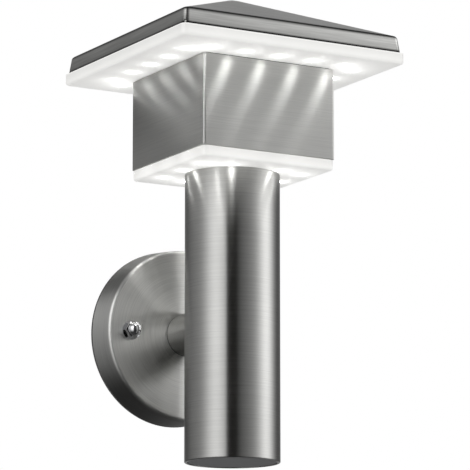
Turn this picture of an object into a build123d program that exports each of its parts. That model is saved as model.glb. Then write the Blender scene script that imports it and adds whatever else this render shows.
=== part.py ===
from build123d import *

import os
from math import cos, pi, radians, sin, sqrt

os.makedirs("parts", exist_ok=True)

# Outdoor wall light in brushed stainless steel, in millimetres.
# The origin lies on the wall at the rose's centre, +Z is up and the lamp stands out to -Y.

# Fits and fixings
seat_gap = 0.1  # round a piece that is pushed in, welded or coped to its neighbour
thread_gap = 0.05  # round a thread in its nut or boss
hole_gap = 0.3  # round a screw, rod or lead that passes through a plate
plate_gap = 0.3  # round a plate that drops into a dish
screw_d = 3.0
screw_head_d = 5.5
screw_head_h = 2.0
screw_l = 5.0
screw_end_gap = 0.2  # a dish screw's tip to the dish's floor
screw_slot_w = 0.8
board_screw_d = 2.0
board_screw_head_d = 4.0
board_screw_head_h = 1.3
boss_wall = 1.5

# Rose and wall bracket
rose_d = 95.0
rose_depth = 18.0  # wall to the rose's front face
rose_draw_in = 1.5  # how far the side draws in from rim to front
rose_sheet = 1.0
rose_edge_r = 1.8
wall_gasket_t = 1.5
wall_gasket_w = 4.0
bracket_t = 1.5
bracket_bar_w = 18.0
bracket_margin = 3.0  # between bracket ends and gasket
bracket_corner_r = 2.0
stud_end = 7.0  # bracket end to stud centre
stud_d = 5.0
slot_w = 5.2
slot_l = 11.0
slot_end = 4.0  # bracket end to slot
slot_web = 2.5  # slot to the supply hole, and to the terminal block
supply_hole_d = 12.0

# Cap nuts
nut_across_flats = 8.0
nut_hex_h = 4.0
nut_corner_drop = 0.5  # height of the turned chamfer on the hexagon
nut_crown_d = 7.4
nut_bore_l = 6.0
nut_washer_d = 10.0
nut_washer_t = 1.0
stud_end_gap = 0.5

# Terminal block and earth
terminal_w = 20.0
terminal_h = 12.0
terminal_depth = 9.0
terminal_pitch = 8.0
terminal_row_gap = 6.0
terminal_corner_r = 1.0
terminal_screw_d = 3.0
terminal_screw_h = 0.8
earth_out = 20.0  # rose centre to earth screw
earth_tag_d = 8.0
earth_tag_t = 0.8
earth_tongue_w = 2.4
earth_tongue_l = 9.0

# Arm and the hollow threaded nipple in it
arm_d = 23.0
arm_wall = 1.5
nipple_d = 10.0
nipple_bore = 7.0
nipple_proud = 1.0
arm_nut_flats = 14.0
arm_nut_h = 4.0
arm_washer_d = 18.0
arm_washer_t = 1.0
saddle_w = 22.0
saddle_h = 22.0
saddle_min_t = 2.0  # thinnest part of the saddle, at its sides

# Column
column_d = 50.0
column_wall = 1.5
column_drop = 73.8  # rose centre to the column's bottom
column_l = 156.0
column_edge_r = 0.5
cap_recess = 0.3
cap_t = 2.5
cap_skirt_t = 2.0
cap_skirt_h = 8.0
bridge_down = 10.0  # column top to bridge top
bridge_t = 3.0

# Tie rod
rod_d = 8.0
rod_nut_flats = 13.0
rod_nut_h = 6.5
rod_washer_d = 16.0
rod_washer_t = 1.6
rod_proud = 1.5

# Light boards
board_t = 1.0
led_side = 3.0
led_h = 0.7
led_to_dish = 1.0
carrier_t = 1.2
lower_led_count = 3  # lamps beside the column, on each side
lower_led_inset = 7.7  # dish wall to the lamps' centres
lower_led_first = 8.5  # end of a row's line to its first lamp
lower_pair_spacing = 30.0  # between the two lamps in front of the column
lower_pair_gap = 1.4  # light board's hole to the nearest corner of those lamps
upper_led_count = 5
upper_led_inset = 13.0
upper_led_first = 9.2
lower_board_margin = 3.5  # past the lamps' centres, to the board's edge
upper_board_margin = 5.0

# Dishes
dish_floor = 1.5
lower_dish_wall = 2.0
lower_dish_corner_r = 3.0
lower_dish_edge_r = 1.2
upper_dish_reveal = 1.3  # how far the upper dish stands out past the roof
upper_dish_rim_h = 5.9  # underside to the shoulder that the roof stands on
upper_dish_spigot_h = 2.0
upper_dish_spigot_t = 1.6
upper_dish_corner_r = 3.0
upper_dish_edge_r = 1.5
upper_dish_collar_t = 3.0
upper_boss_gap = 2.0  # upper board to the upper dish's screw bosses

# Box
box_overhang = 14.2  # how far the box stands out past the column
box_h = 48.1
box_sheet = 1.0
box_bend_r = 1.2
box_flange_w = 5.5
head_gasket_t = 0.5
head_gasket_inset = 1.0
head_gasket_w = 3.5

# Driver and its bracket
driver_l = 50.0
driver_w = 21.0
driver_h = 20.0
driver_corner_r = 1.5
driver_out = 12.0  # axis to the driver's back
driver_up = 3.6  # lower carrier to the driver's underside
driver_bracket_t = 1.2
driver_bracket_w = 14.0
driver_bracket_tail = 9.0
driver_screw_low = 8.0  # driver's underside to the lower screw
driver_screw_edge = 4.0  # upper screw to the driver's top

# Roof
roof_side = 130.0
head_wall_gap = 2.2  # upper dish to wall
roof_skirt_h = 9.1
roof_skirt_lean = 1.2
roof_rise = 25.0  # crease to the flat of the apex
roof_sheet = 0.8
roof_corner_r = 2.5
roof_crease_r = 2.0
roof_apex_side = 7.0
roof_apex_r = 2.6
roof_notch_w = 1.2
roof_notch_h = 2.2
roof_strip_w = 18.0
roof_strip_t = 1.5
roof_strip_leg = 36.0  # axis to the strip's legs
roof_strip_reach = 46.0
roof_strip_up = 7.0  # upper carrier to the strip

# Leads
mains_lead_d = 5.5
core_d = 1.7
board_lead_d = 2.6
sheath_proud = 0.5
mains_turn_past = 4.0  # axis to the lead's turn upwards
mains_turn_r = 14.0
mains_lean = 5.0
mains_lean_r = 30.0
mains_straight = 13.9  # lead's last bend in the column to the bridge
mains_rise = 15.0  # driver top to the lead's highest run
mains_top_r = 13.0
mains_hole_turn = 158.0  # place of the lead's holes round the axis, in degrees
core_out = 1.4  # sheath's middle to each core
core_lift = 0.8
core_run = 4.5
core_straight = 4.0
core_turn_r = 2.6
core_ease_r = 5.0
earth_core_r = 4.0
board_lead_x = 18.0
board_lead_out = 24.0  # axis to where the board leads leave the driver
board_lead_rise = 4.6
board_lead_r = 4.0
grommet_d = 11.0
grommet_neck_d = 8.4
grommet_lip = 1.2
grommet_gap = 1.5  # grommet to the column's bore

# Levels and half sizes that follow from these
wall = Plane.XZ
upper_dish_side = roof_side + 2 * upper_dish_reveal
wall_to_axis = upper_dish_side / 2 + head_wall_gap
bracket_bar_l = rose_d - 2 * (wall_gasket_w + bracket_margin)
stud_spacing = bracket_bar_l - 2 * stud_end
slot_spacing = bracket_bar_l - slot_l - 2 * slot_end
slot_in = (slot_spacing - slot_l) / 2
supply_hole_down = slot_in - slot_web - supply_hole_d / 2
terminal_rise = slot_in - slot_web - terminal_h / 2
column_r = column_d / 2
column_bore_r = column_r - column_wall
box_side = column_d + 2 * box_overhang
column_bottom_z = -column_drop
column_top_z = column_bottom_z + column_l
lower_carrier_top_z = column_top_z + carrier_t
boss_h = board_t + led_h + led_to_dish
lower_dish_z = column_top_z - boss_h - dish_floor
box_z = lower_carrier_top_z + head_gasket_t
box_top_z = box_z + box_h
upper_dish_z = box_top_z + head_gasket_t
upper_carrier_z = upper_dish_z + dish_floor + boss_h
upper_carrier_top_z = upper_carrier_z + carrier_t
roof_z = upper_dish_z + upper_dish_rim_h
crease_z = roof_z + roof_skirt_h
crease_half = roof_side / 2 - roof_skirt_lean
apex_z = crease_z + roof_rise
roof_slope = roof_rise / (crease_half - roof_apex_side / 2)
bridge_z = column_top_z - bridge_down - bridge_t
flange_half = box_side / 2 - box_flange_w
spigot_half = roof_side / 2 - roof_sheet - roof_skirt_lean * upper_dish_spigot_h / roof_skirt_h - seat_gap
upper_dish_bore = spigot_half - upper_dish_spigot_t
lower_dish_bore = box_side / 2 - lower_dish_wall
lower_bore_r = max(lower_dish_corner_r - lower_dish_wall, seat_gap)
lower_led_half = lower_dish_bore - lower_led_inset
lower_led_pitch = 2 * (lower_led_half - lower_led_first) / (lower_led_count - 1)
lower_pair_in = lower_pair_spacing / 2 - led_side / 2
lower_pair_reach = column_r + plate_gap + lower_pair_gap
lower_pair_out = sqrt(lower_pair_reach**2 - lower_pair_in**2) + led_side / 2
upper_led_half = upper_dish_bore - upper_led_inset
upper_led_pitch = 2 * (upper_led_half - upper_led_first) / (upper_led_count - 1)
strip_z = upper_carrier_top_z + roof_strip_up
saddle_flat = sqrt((column_bore_r - seat_gap) ** 2 - (saddle_w / 2) ** 2) - saddle_min_t
driver_z = lower_carrier_top_z + driver_up
foot_top_z = lower_carrier_top_z + driver_bracket_t
boss_d = screw_d + 2 * boss_wall
dish_screw_l = carrier_t + boss_h - screw_end_gap
lower_boss_out = flange_half - hole_gap - screw_head_d / 2
upper_boss_out = upper_led_half - upper_board_margin - upper_boss_gap - boss_d / 2
mains_hole_out = column_bore_r - grommet_gap - grommet_d / 2
mains_hole_x = mains_hole_out * cos(radians(mains_hole_turn))
mains_hole_y = mains_hole_out * sin(radians(mains_hole_turn))


def level(z):
    """Horizontal plane at height z, centred on the column's axis."""
    return Plane((0, -wall_to_axis, z))


def upright(x, y):
    """Vertical plane facing -Y, at x and y from the column's axis."""
    return Plane((x, y - wall_to_axis, 0), x_dir=(1, 0, 0), z_dir=(0, -1, 0))


def led_row(pitch, count):
    """Places of the lamps along a row, from its middle."""
    return [(index - (count - 1) / 2) * pitch for index in range(count)]


def corners(out_x, out_y):
    """The four places at this distance either way from the column's axis."""
    return [(x * out_x, y * out_y) for x in (-1, 1) for y in (-1, 1)]


def pan_screws(seat, places, diameter, head_d, head_h, length):
    """Slotted pan-head screws: heads on the seat's upper side, shanks below it."""
    with BuildPart() as screws:
        with BuildSketch(seat):
            with Locations(*places):
                Circle(head_d / 2)
        extrude(amount=head_h)
        with BuildSketch(seat.offset(head_h)):
            with Locations(*places):
                Rectangle(head_d, screw_slot_w)
        extrude(amount=-head_h / 2, mode=Mode.SUBTRACT)
        with BuildSketch(seat):
            with Locations(*places):
                Circle(diameter / 2)
        extrude(amount=-length)
    return screws


def hex_nuts(seats, flats, height, thread_d):
    """Plain hexagon nuts, one on each seat plane."""
    with BuildPart() as nuts:
        for seat in seats:
            with BuildSketch(seat):
                RegularPolygon(flats / 2, 6, major_radius=False)
                Circle(thread_d / 2 + thread_gap, mode=Mode.SUBTRACT)
            extrude(amount=height)
    return nuts


def lead(name, points, radii, diameter):
    """A round lead along straight runs joined by arcs; prints its radii and checks its volume."""
    with BuildPart() as solid:
        with BuildLine() as route:
            if radii:
                FilletPolyline(*points, radius=radii)
            else:
                Line(*points)
        path = route.wire()
        with BuildSketch(Plane(origin=path @ 0, z_dir=path % 0)):
            Circle(diameter / 2)
        sweep(path=path)
    share = solid.part.volume / (pi * diameter**2 / 4 * path.length)
    print(f"{name}: length {path.length:.1f}, radii {radii}, volume over section x length {share:.4f}")
    return solid


# Foam ring that seals the rose to the wall
with BuildPart() as wall_gasket:
    with BuildSketch(wall):
        Circle(rose_d / 2)
        Circle(rose_d / 2 - wall_gasket_w, mode=Mode.SUBTRACT)
    extrude(amount=wall_gasket_t)
wall_gasket.part.label = "wall_gasket"
export_step(wall_gasket.part, "parts/wall_gasket.step")

# Cross-shaped plate that is screwed to the wall through its two slots
with BuildPart() as wall_bracket:
    with BuildSketch(wall) as cross:
        Rectangle(bracket_bar_l, bracket_bar_w)
        Rectangle(bracket_bar_w, bracket_bar_l)
        fillet(cross.vertices(), bracket_corner_r)
        with Locations((0, -supply_hole_down)):
            Circle(supply_hole_d / 2, mode=Mode.SUBTRACT)
        with Locations((0, slot_spacing / 2), (0, -slot_spacing / 2)):
            SlotOverall(slot_l, slot_w, rotation=90, mode=Mode.SUBTRACT)
    extrude(amount=bracket_t)
wall_bracket.part.label = "wall_bracket"
export_step(wall_bracket.part, "parts/wall_bracket.step")

# Two threaded studs welded to the plate
stud_l = rose_depth + nut_washer_t + nut_bore_l - stud_end_gap - bracket_t
stud_places = [(-stud_spacing / 2, 0), (stud_spacing / 2, 0)]
with BuildPart() as bracket_studs:
    with BuildSketch(wall.offset(bracket_t)):
        with Locations(*stud_places):
            Circle(stud_d / 2)
    extrude(amount=stud_l)
bracket_studs.part.label = "bracket_studs"
export_step(bracket_studs.part, "parts/bracket_studs.step")

# Two-pole terminal block on the plate, above the rose's centre
terminal_face = wall.offset(bracket_t + terminal_depth)
with BuildPart() as terminal_block:
    with BuildSketch(wall.offset(bracket_t)):
        with Locations((0, terminal_rise)):
            RectangleRounded(terminal_w, terminal_h, terminal_corner_r)
            Circle(screw_d / 2 + hole_gap, mode=Mode.SUBTRACT)
    extrude(amount=terminal_depth)
terminal_block.part.label = "terminal_block"
export_step(terminal_block.part, "parts/terminal_block.step")

# Clamp screws of the terminals, two to a pole
terminal_rows = [terminal_rise - terminal_row_gap / 2, terminal_rise + terminal_row_gap / 2]
terminal_places = [(side * terminal_pitch / 2, row) for side in (-1, 1) for row in terminal_rows]
with BuildPart() as terminal_screws:
    with BuildSketch(terminal_face):
        with Locations(*terminal_places):
            Circle(terminal_screw_d / 2)
    extrude(amount=terminal_screw_h)
    with BuildSketch(terminal_face.offset(terminal_screw_h)):
        with Locations(*terminal_places):
            Rectangle(terminal_screw_d, screw_slot_w)
    extrude(amount=-terminal_screw_h / 2, mode=Mode.SUBTRACT)
terminal_screws.part.label = "terminal_screws"
export_step(terminal_screws.part, "parts/terminal_screws.step")

# Screw through the block's middle into the plate
fixing_head_d = terminal_pitch - terminal_screw_d - 2 * hole_gap
terminal_fixing_screw = pan_screws(
    terminal_face, [(0, terminal_rise)], screw_d, fixing_head_d, screw_head_h, terminal_depth
)
terminal_fixing_screw.part.label = "terminal_fixing_screw"
export_step(terminal_fixing_screw.part, "parts/terminal_fixing_screw.step")

# Earth tag: a ring with a tongue that takes the earth core
with BuildPart() as earth_tag:
    with BuildSketch(wall.offset(bracket_t)):
        with Locations((-earth_out, 0)):
            Circle(earth_tag_d / 2)
            Rectangle(earth_tongue_l, earth_tongue_w, align=(Align.MIN, Align.CENTER))
            Circle(screw_d / 2 + hole_gap, mode=Mode.SUBTRACT)
    extrude(amount=earth_tag_t)
earth_tag.part.label = "earth_tag"
export_step(earth_tag.part, "parts/earth_tag.step")

# Brass screw that holds the tag to the plate
earth_screw = pan_screws(
    wall.offset(bracket_t + earth_tag_t), [(-earth_out, 0)], screw_d, screw_head_d, screw_head_h, earth_tag_t
)
earth_screw.part.label = "earth_screw"
export_step(earth_screw.part, "parts/earth_screw.step")

# Rose: a shallow spun dish, drawn in a little towards its rounded front edge
rose_r = rose_d / 2
rose_front_r = rose_r - rose_draw_in
nipple_hole_r = nipple_d / 2 + hole_gap
with BuildPart() as rose:
    with BuildSketch(Plane.XY) as rose_profile:
        with BuildLine():
            Polyline(
                (nipple_hole_r, -rose_depth),
                (rose_front_r, -rose_depth),
                (rose_r, -wall_gasket_t),
                (rose_r - rose_sheet, -wall_gasket_t),
                (rose_front_r - rose_sheet, rose_sheet - rose_depth),
                (nipple_hole_r, rose_sheet - rose_depth),
                close=True,
            )
        make_face()
        fillet(rose_profile.vertices().sort_by_distance((rose_front_r, -rose_depth))[0], rose_edge_r)
        inner_corner = (rose_front_r - rose_sheet, rose_sheet - rose_depth)
        fillet(rose_profile.vertices().sort_by_distance(inner_corner)[0], rose_edge_r - rose_sheet)
    revolve(axis=Axis.Y)
    with BuildSketch(wall.offset(rose_depth)):
        with Locations(*stud_places):
            Circle(stud_d / 2 + hole_gap)
    extrude(amount=-2 * rose_sheet, mode=Mode.SUBTRACT)
rose.part.label = "rose"
export_step(rose.part, "parts/rose.step")

# Cap nuts with their captive washers, one on each stud
for side, (stud_x, stud_z) in zip(("left", "right"), stud_places):
    nut_face = Plane((stud_x, -rose_depth, stud_z), x_dir=(1, 0, 0), z_dir=(0, -1, 0))
    nut_seat = nut_face.offset(nut_washer_t)
    with BuildPart() as nut_washer:
        with BuildSketch(nut_face):
            Circle(nut_washer_d / 2)
            Circle(stud_d / 2 + hole_gap, mode=Mode.SUBTRACT)
        extrude(amount=nut_washer_t)
    nut_washer.part.label = f"nut_washer_{side}"
    export_step(nut_washer.part, f"parts/nut_washer_{side}.step")

    nut_corner_r = nut_across_flats / sqrt(3)
    nut_turn = Plane((stud_x, -rose_depth - nut_washer_t, stud_z), x_dir=(1, 0, 0), z_dir=(0, 0, -1))
    with BuildPart() as cap_nut:
        with BuildSketch(nut_seat):
            RegularPolygon(nut_across_flats / 2, 6, major_radius=False)
        extrude(amount=nut_hex_h)
        with BuildSketch(nut_turn):
            with BuildLine():
                Polyline(
                    (0, 0),
                    (nut_corner_r, 0),
                    (nut_corner_r, nut_hex_h - nut_corner_drop),
                    (nut_crown_d / 2, nut_hex_h),
                    (0, nut_hex_h),
                    close=True,
                )
            make_face()
        revolve(axis=Axis(nut_seat.origin, nut_seat.z_dir), mode=Mode.INTERSECT)
        with Locations(nut_seat.offset(nut_hex_h).location):
            Sphere(nut_crown_d / 2)
        with BuildSketch(nut_seat):
            Circle(stud_d / 2 + thread_gap)
        extrude(amount=nut_bore_l, mode=Mode.SUBTRACT)
        with BuildSketch(nut_seat):
            Rectangle(2 * nut_across_flats, 2 * nut_across_flats)
        extrude(amount=-nut_crown_d, mode=Mode.SUBTRACT)
    cap_nut.part.label = f"cap_nut_{side}"
    export_step(cap_nut.part, f"parts/cap_nut_{side}.step")

# Arm: round tube from the rose's face, coped to the column
with BuildPart() as arm_tube:
    with BuildSketch(wall.offset(rose_depth)):
        Circle(arm_d / 2)
        Circle(arm_d / 2 - arm_wall, mode=Mode.SUBTRACT)
    extrude(amount=wall_to_axis - rose_depth)
    with BuildSketch(level(-arm_d)):
        Circle(column_r + seat_gap)
    extrude(amount=2 * arm_d, mode=Mode.SUBTRACT)
arm_tube.part.label = "arm_tube"
export_step(arm_tube.part, "parts/arm_tube.step")

# Hollow nipple that clamps rose, arm and column, with the lead inside it
nipple_start = rose_depth - rose_sheet - arm_washer_t - arm_nut_h - nipple_proud
nipple_end = wall_to_axis - saddle_flat + arm_nut_h + nipple_proud
with BuildPart() as arm_nipple:
    with BuildSketch(wall.offset(nipple_start)):
        Circle(nipple_d / 2)
        Circle(nipple_bore / 2, mode=Mode.SUBTRACT)
    extrude(amount=nipple_end - nipple_start)
arm_nipple.part.label = "arm_nipple"
export_step(arm_nipple.part, "parts/arm_nipple.step")

# Washer under the nut inside the rose
with BuildPart() as arm_washer:
    with BuildSketch(wall.offset(rose_depth - rose_sheet)):
        Circle(arm_washer_d / 2)
        Circle(nipple_hole_r, mode=Mode.SUBTRACT)
    extrude(amount=-arm_washer_t)
arm_washer.part.label = "arm_washer"
export_step(arm_washer.part, "parts/arm_washer.step")

# Saddle inside the column: curved to the tube's bore, flat under its nut
with BuildPart() as column_saddle:
    with BuildSketch(level(-saddle_h / 2)):
        Circle(column_bore_r - seat_gap)
        with Locations((0, saddle_flat)):
            Rectangle(saddle_w, column_r, align=(Align.CENTER, Align.MIN), mode=Mode.INTERSECT)
    extrude(amount=saddle_h)
    with BuildSketch(wall.offset(wall_to_axis - column_r)):
        Circle(nipple_hole_r)
    extrude(amount=column_r, mode=Mode.SUBTRACT)
column_saddle.part.label = "column_saddle"
export_step(column_saddle.part, "parts/column_saddle.step")

# Nuts at both ends of the nipple
arm_nuts = hex_nuts(
    [wall.offset(nipple_start + nipple_proud), wall.offset(wall_to_axis - saddle_flat)],
    arm_nut_flats, arm_nut_h, nipple_d,
)
arm_nuts.part.label = "arm_nuts"
export_step(arm_nuts.part, "parts/arm_nuts.step")

# Column: round tube, pierced on the wall side for the nipple
with BuildPart() as column:
    with BuildSketch(level(column_bottom_z)):
        Circle(column_r)
        Circle(column_bore_r, mode=Mode.SUBTRACT)
    extrude(amount=column_l)
    outer_rim = column.faces().sort_by(Axis.Z)[0].edges().sort_by(SortBy.LENGTH)[-1]
    fillet(outer_rim, column_edge_r)
    with BuildSketch(wall.offset(wall_to_axis - column_r - seat_gap)):
        Circle(nipple_hole_r)
    extrude(amount=column_r, mode=Mode.SUBTRACT)
column.part.label = "column"
export_step(column.part, "parts/column.step")

# Plastic disc with a skirt, pushed into the column's bottom
with BuildPart() as column_end_cap:
    with BuildSketch(level(column_bottom_z + cap_recess)):
        Circle(column_bore_r - seat_gap)
    extrude(amount=cap_t + cap_skirt_h)
    with BuildSketch(level(column_bottom_z + cap_recess + cap_t)):
        Circle(column_bore_r - seat_gap - cap_skirt_t)
    extrude(amount=cap_skirt_h, mode=Mode.SUBTRACT)
column_end_cap.part.label = "column_end_cap"
export_step(column_end_cap.part, "parts/column_end_cap.step")

# Disc welded inside the column's top, which the tie rod pulls up
rod_hole_r = rod_d / 2 + hole_gap
mains_hole = (mains_hole_x, mains_hole_y)
with BuildPart() as column_bridge:
    with BuildSketch(level(bridge_z)):
        Circle(column_bore_r - seat_gap)
        Circle(rod_hole_r, mode=Mode.SUBTRACT)
        with Locations(mains_hole):
            Circle(grommet_neck_d / 2 + seat_gap, mode=Mode.SUBTRACT)
    extrude(amount=bridge_t)
column_bridge.part.label = "column_bridge"
export_step(column_bridge.part, "parts/column_bridge.step")

# Lower carrier plate on the column's top
lower_boss_places = corners(lower_boss_out, lower_boss_out)
lower_lead_place = (board_lead_x, -board_lead_out)
lower_screw_places = corners(lower_led_half, lower_led_pitch / 2)
with BuildPart() as lower_carrier:
    with BuildSketch(level(column_top_z)):
        plate_side = 2 * (lower_dish_bore - plate_gap)
        RectangleRounded(plate_side, plate_side, lower_bore_r)
        Circle(rod_hole_r, mode=Mode.SUBTRACT)
        with Locations(mains_hole):
            Circle(grommet_neck_d / 2 + seat_gap, mode=Mode.SUBTRACT)
        with Locations(*lower_boss_places):
            Circle(screw_d / 2 + hole_gap, mode=Mode.SUBTRACT)
        with Locations(lower_lead_place):
            Circle(board_lead_d / 2 + hole_gap, mode=Mode.SUBTRACT)
        with Locations(*lower_screw_places):
            Circle(board_screw_d / 2 + thread_gap, mode=Mode.SUBTRACT)
    extrude(amount=carrier_t)
lower_carrier.part.label = "lower_carrier"
export_step(lower_carrier.part, "parts/lower_carrier.step")

# Lower light board: a ring under the carrier, notched at its corners for the dish's bosses
lower_board_side = 2 * (lower_led_half + lower_board_margin)
with BuildPart() as lower_led_board:
    with BuildSketch(level(column_top_z)):
        Rectangle(lower_board_side, lower_board_side)
        Circle(column_r + plate_gap, mode=Mode.SUBTRACT)
        with Locations(*lower_boss_places):
            Rectangle(boss_d + 2 * hole_gap, boss_d + 2 * hole_gap, mode=Mode.SUBTRACT)
        with Locations(*lower_screw_places):
            Circle(board_screw_d / 2 + hole_gap, mode=Mode.SUBTRACT)
    extrude(amount=-board_t)
lower_led_board.part.label = "lower_led_board"
export_step(lower_led_board.part, "parts/lower_led_board.step")

# Lamps on the lower board: a row each side of the column, a pair before it and a pair behind
lower_row = led_row(lower_led_pitch, lower_led_count)
with BuildPart() as lower_leds:
    with BuildSketch(level(column_top_z - board_t)):
        with Locations(*[(x, y) for x in (-lower_led_half, lower_led_half) for y in lower_row]):
            Rectangle(led_side, led_side)
        with Locations(*corners(lower_pair_spacing / 2, lower_pair_out)):
            Rectangle(led_side, led_side)
    extrude(amount=-led_h)
lower_leds.part.label = "lower_leds"
export_step(lower_leds.part, "parts/lower_leds.step")

# Lower dish: opal square tray round the column, with screw bosses up to the carrier
with BuildPart() as lower_diffuser:
    with BuildSketch(level(lower_dish_z)):
        RectangleRounded(box_side, box_side, lower_dish_corner_r)
    extrude(amount=lower_carrier_top_z - lower_dish_z)
    fillet(lower_diffuser.faces().sort_by(Axis.Z)[0].edges(), lower_dish_edge_r)
    with BuildSketch(level(lower_dish_z + dish_floor)):
        RectangleRounded(2 * lower_dish_bore, 2 * lower_dish_bore, lower_bore_r)
    extrude(amount=lower_carrier_top_z - lower_dish_z, mode=Mode.SUBTRACT)
    with BuildSketch(level(lower_dish_z + dish_floor)):
        with Locations(*lower_boss_places):
            Circle(boss_d / 2)
            Circle(screw_d / 2 + thread_gap, mode=Mode.SUBTRACT)
    extrude(amount=boss_h)
    with BuildSketch(level(lower_dish_z)):
        Circle(column_r + seat_gap)
    extrude(amount=lower_carrier_top_z - lower_dish_z, mode=Mode.SUBTRACT)
lower_diffuser.part.label = "lower_diffuser"
export_step(lower_diffuser.part, "parts/lower_diffuser.step")

# Screws from the carrier down into the dish's bosses
lower_diffuser_screws = pan_screws(
    level(lower_carrier_top_z), lower_boss_places, screw_d, screw_head_d, screw_head_h, dish_screw_l
)
lower_diffuser_screws.part.label = "lower_diffuser_screws"
export_step(lower_diffuser_screws.part, "parts/lower_diffuser_screws.step")

# Flat seals under and over the box
gasket_side = box_side - 2 * head_gasket_inset
for name, gasket_z in (("lower_gasket", lower_carrier_top_z), ("upper_gasket", box_top_z)):
    with BuildPart() as head_gasket:
        with BuildSketch(level(gasket_z)):
            RectangleRounded(gasket_side, gasket_side, lower_dish_corner_r - head_gasket_inset)
            hole_side = gasket_side - 2 * head_gasket_w
            Rectangle(hole_side, hole_side, mode=Mode.SUBTRACT)
        extrude(amount=head_gasket_t)
    head_gasket.part.label = name
    export_step(head_gasket.part, f"parts/{name}.step")

# Box: folded sheet with flanges turned in at both ends
with BuildPart() as box_housing:
    with BuildSketch(level(box_z)):
        RectangleRounded(box_side, box_side, box_bend_r)
    extrude(amount=box_h)
    with BuildSketch(level(box_z + box_sheet)):
        inner_side = box_side - 2 * box_sheet
        RectangleRounded(inner_side, inner_side, box_bend_r - box_sheet)
    extrude(amount=box_h - 2 * box_sheet, mode=Mode.SUBTRACT)
    with BuildSketch(level(box_z)):
        Rectangle(2 * flange_half, 2 * flange_half)
    extrude(amount=box_h, mode=Mode.SUBTRACT)
box_housing.part.label = "box_housing"
export_step(box_housing.part, "parts/box_housing.step")

# Angle strip that carries the driver, clamped on the lower carrier by the tie rod
driver_screw_places = [(0, driver_z + driver_screw_low), (0, driver_z + driver_h - driver_screw_edge)]
with BuildPart() as driver_bracket:
    with BuildSketch(level(lower_carrier_top_z)):
        with Locations((0, -driver_out)):
            strip_l = driver_out + driver_bracket_tail
            Rectangle(driver_bracket_w, strip_l, align=(Align.CENTER, Align.MIN))
        Circle(rod_hole_r, mode=Mode.SUBTRACT)
    extrude(amount=driver_bracket_t)
    with BuildSketch(upright(0, -driver_out)):
        with Locations((0, lower_carrier_top_z)):
            Rectangle(driver_bracket_w, driver_up + driver_h, align=(Align.CENTER, Align.MIN))
        with Locations(*driver_screw_places):
            Circle(screw_d / 2 + hole_gap, mode=Mode.SUBTRACT)
    extrude(amount=-driver_bracket_t)
driver_bracket.part.label = "driver_bracket"
export_step(driver_bracket.part, "parts/driver_bracket.step")

# Driver: sealed plastic case screwed to the strip
with BuildPart() as led_driver:
    with BuildSketch(level(driver_z)):
        with Locations((0, -driver_out)):
            Rectangle(driver_l, driver_w, align=(Align.CENTER, Align.MAX))
    extrude(amount=driver_h)
    fillet(led_driver.edges().filter_by(Axis.Z), driver_corner_r)
    with BuildSketch(upright(0, -driver_out)):
        with Locations(*driver_screw_places):
            Circle(screw_d / 2 + thread_gap)
    extrude(amount=screw_l, mode=Mode.SUBTRACT)
led_driver.part.label = "led_driver"
export_step(led_driver.part, "parts/led_driver.step")

# Screws through the strip into the driver, heads on the tie rod's side
driver_screw_seat = Plane(
    (0, driver_bracket_t - driver_out - wall_to_axis, 0), x_dir=(-1, 0, 0), z_dir=(0, 1, 0)
)
driver_screws = pan_screws(
    driver_screw_seat, driver_screw_places, screw_d, screw_head_d, screw_head_h, screw_l
)
driver_screws.part.label = "driver_screws"
export_step(driver_screws.part, "parts/driver_screws.step")

# Rubber grommets in the bridge and the lower carrier
with BuildPart() as lead_grommets:
    for plate_z, plate_t in ((bridge_z, bridge_t), (column_top_z, carrier_t)):
        with BuildSketch(level(plate_z)):
            with Locations(mains_hole):
                Circle(grommet_neck_d / 2)
        extrude(amount=plate_t)
        with BuildSketch(level(plate_z + plate_t)):
            with Locations(mains_hole):
                Circle(grommet_d / 2)
        extrude(amount=grommet_lip)
        with BuildSketch(level(plate_z)):
            with Locations(mains_hole):
                Circle(grommet_d / 2)
        extrude(amount=-grommet_lip)
        with BuildSketch(level(plate_z - grommet_lip)):
            with Locations(mains_hole):
                Circle(mains_lead_d / 2 + hole_gap)
        extrude(amount=plate_t + 2 * grommet_lip, mode=Mode.SUBTRACT)
lead_grommets.part.label = "lead_grommets"
export_step(lead_grommets.part, "parts/lead_grommets.step")

# Upper dish: opal square tray under the roof, with a collar round its hole and screw bosses
upper_boss_places = corners(upper_boss_out, upper_boss_out)
collar_side = 2 * (flange_half + upper_dish_collar_t)
with BuildPart() as upper_diffuser:
    with BuildSketch(level(upper_dish_z)):
        RectangleRounded(upper_dish_side, upper_dish_side, upper_dish_corner_r)
    extrude(amount=upper_dish_rim_h)
    fillet(upper_diffuser.faces().sort_by(Axis.Z)[0].edges(), upper_dish_edge_r)
    with BuildSketch(level(roof_z)):
        RectangleRounded(2 * spigot_half, 2 * spigot_half, roof_corner_r - roof_sheet)
    extrude(amount=upper_dish_spigot_h)
    with BuildSketch(level(upper_dish_z + dish_floor)):
        RectangleRounded(2 * upper_dish_bore, 2 * upper_dish_bore, roof_corner_r - roof_sheet)
    extrude(amount=upper_dish_rim_h + upper_dish_spigot_h, mode=Mode.SUBTRACT)
    with BuildSketch(level(upper_dish_z + dish_floor)):
        Rectangle(collar_side, collar_side)
        with Locations(*upper_boss_places):
            Circle(boss_d / 2)
            Circle(screw_d / 2 + thread_gap, mode=Mode.SUBTRACT)
    extrude(amount=boss_h)
    with BuildSketch(level(upper_dish_z)):
        Rectangle(2 * flange_half, 2 * flange_half)
    extrude(amount=upper_carrier_z - upper_dish_z, mode=Mode.SUBTRACT)
upper_diffuser.part.label = "upper_diffuser"
export_step(upper_diffuser.part, "parts/upper_diffuser.step")

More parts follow.
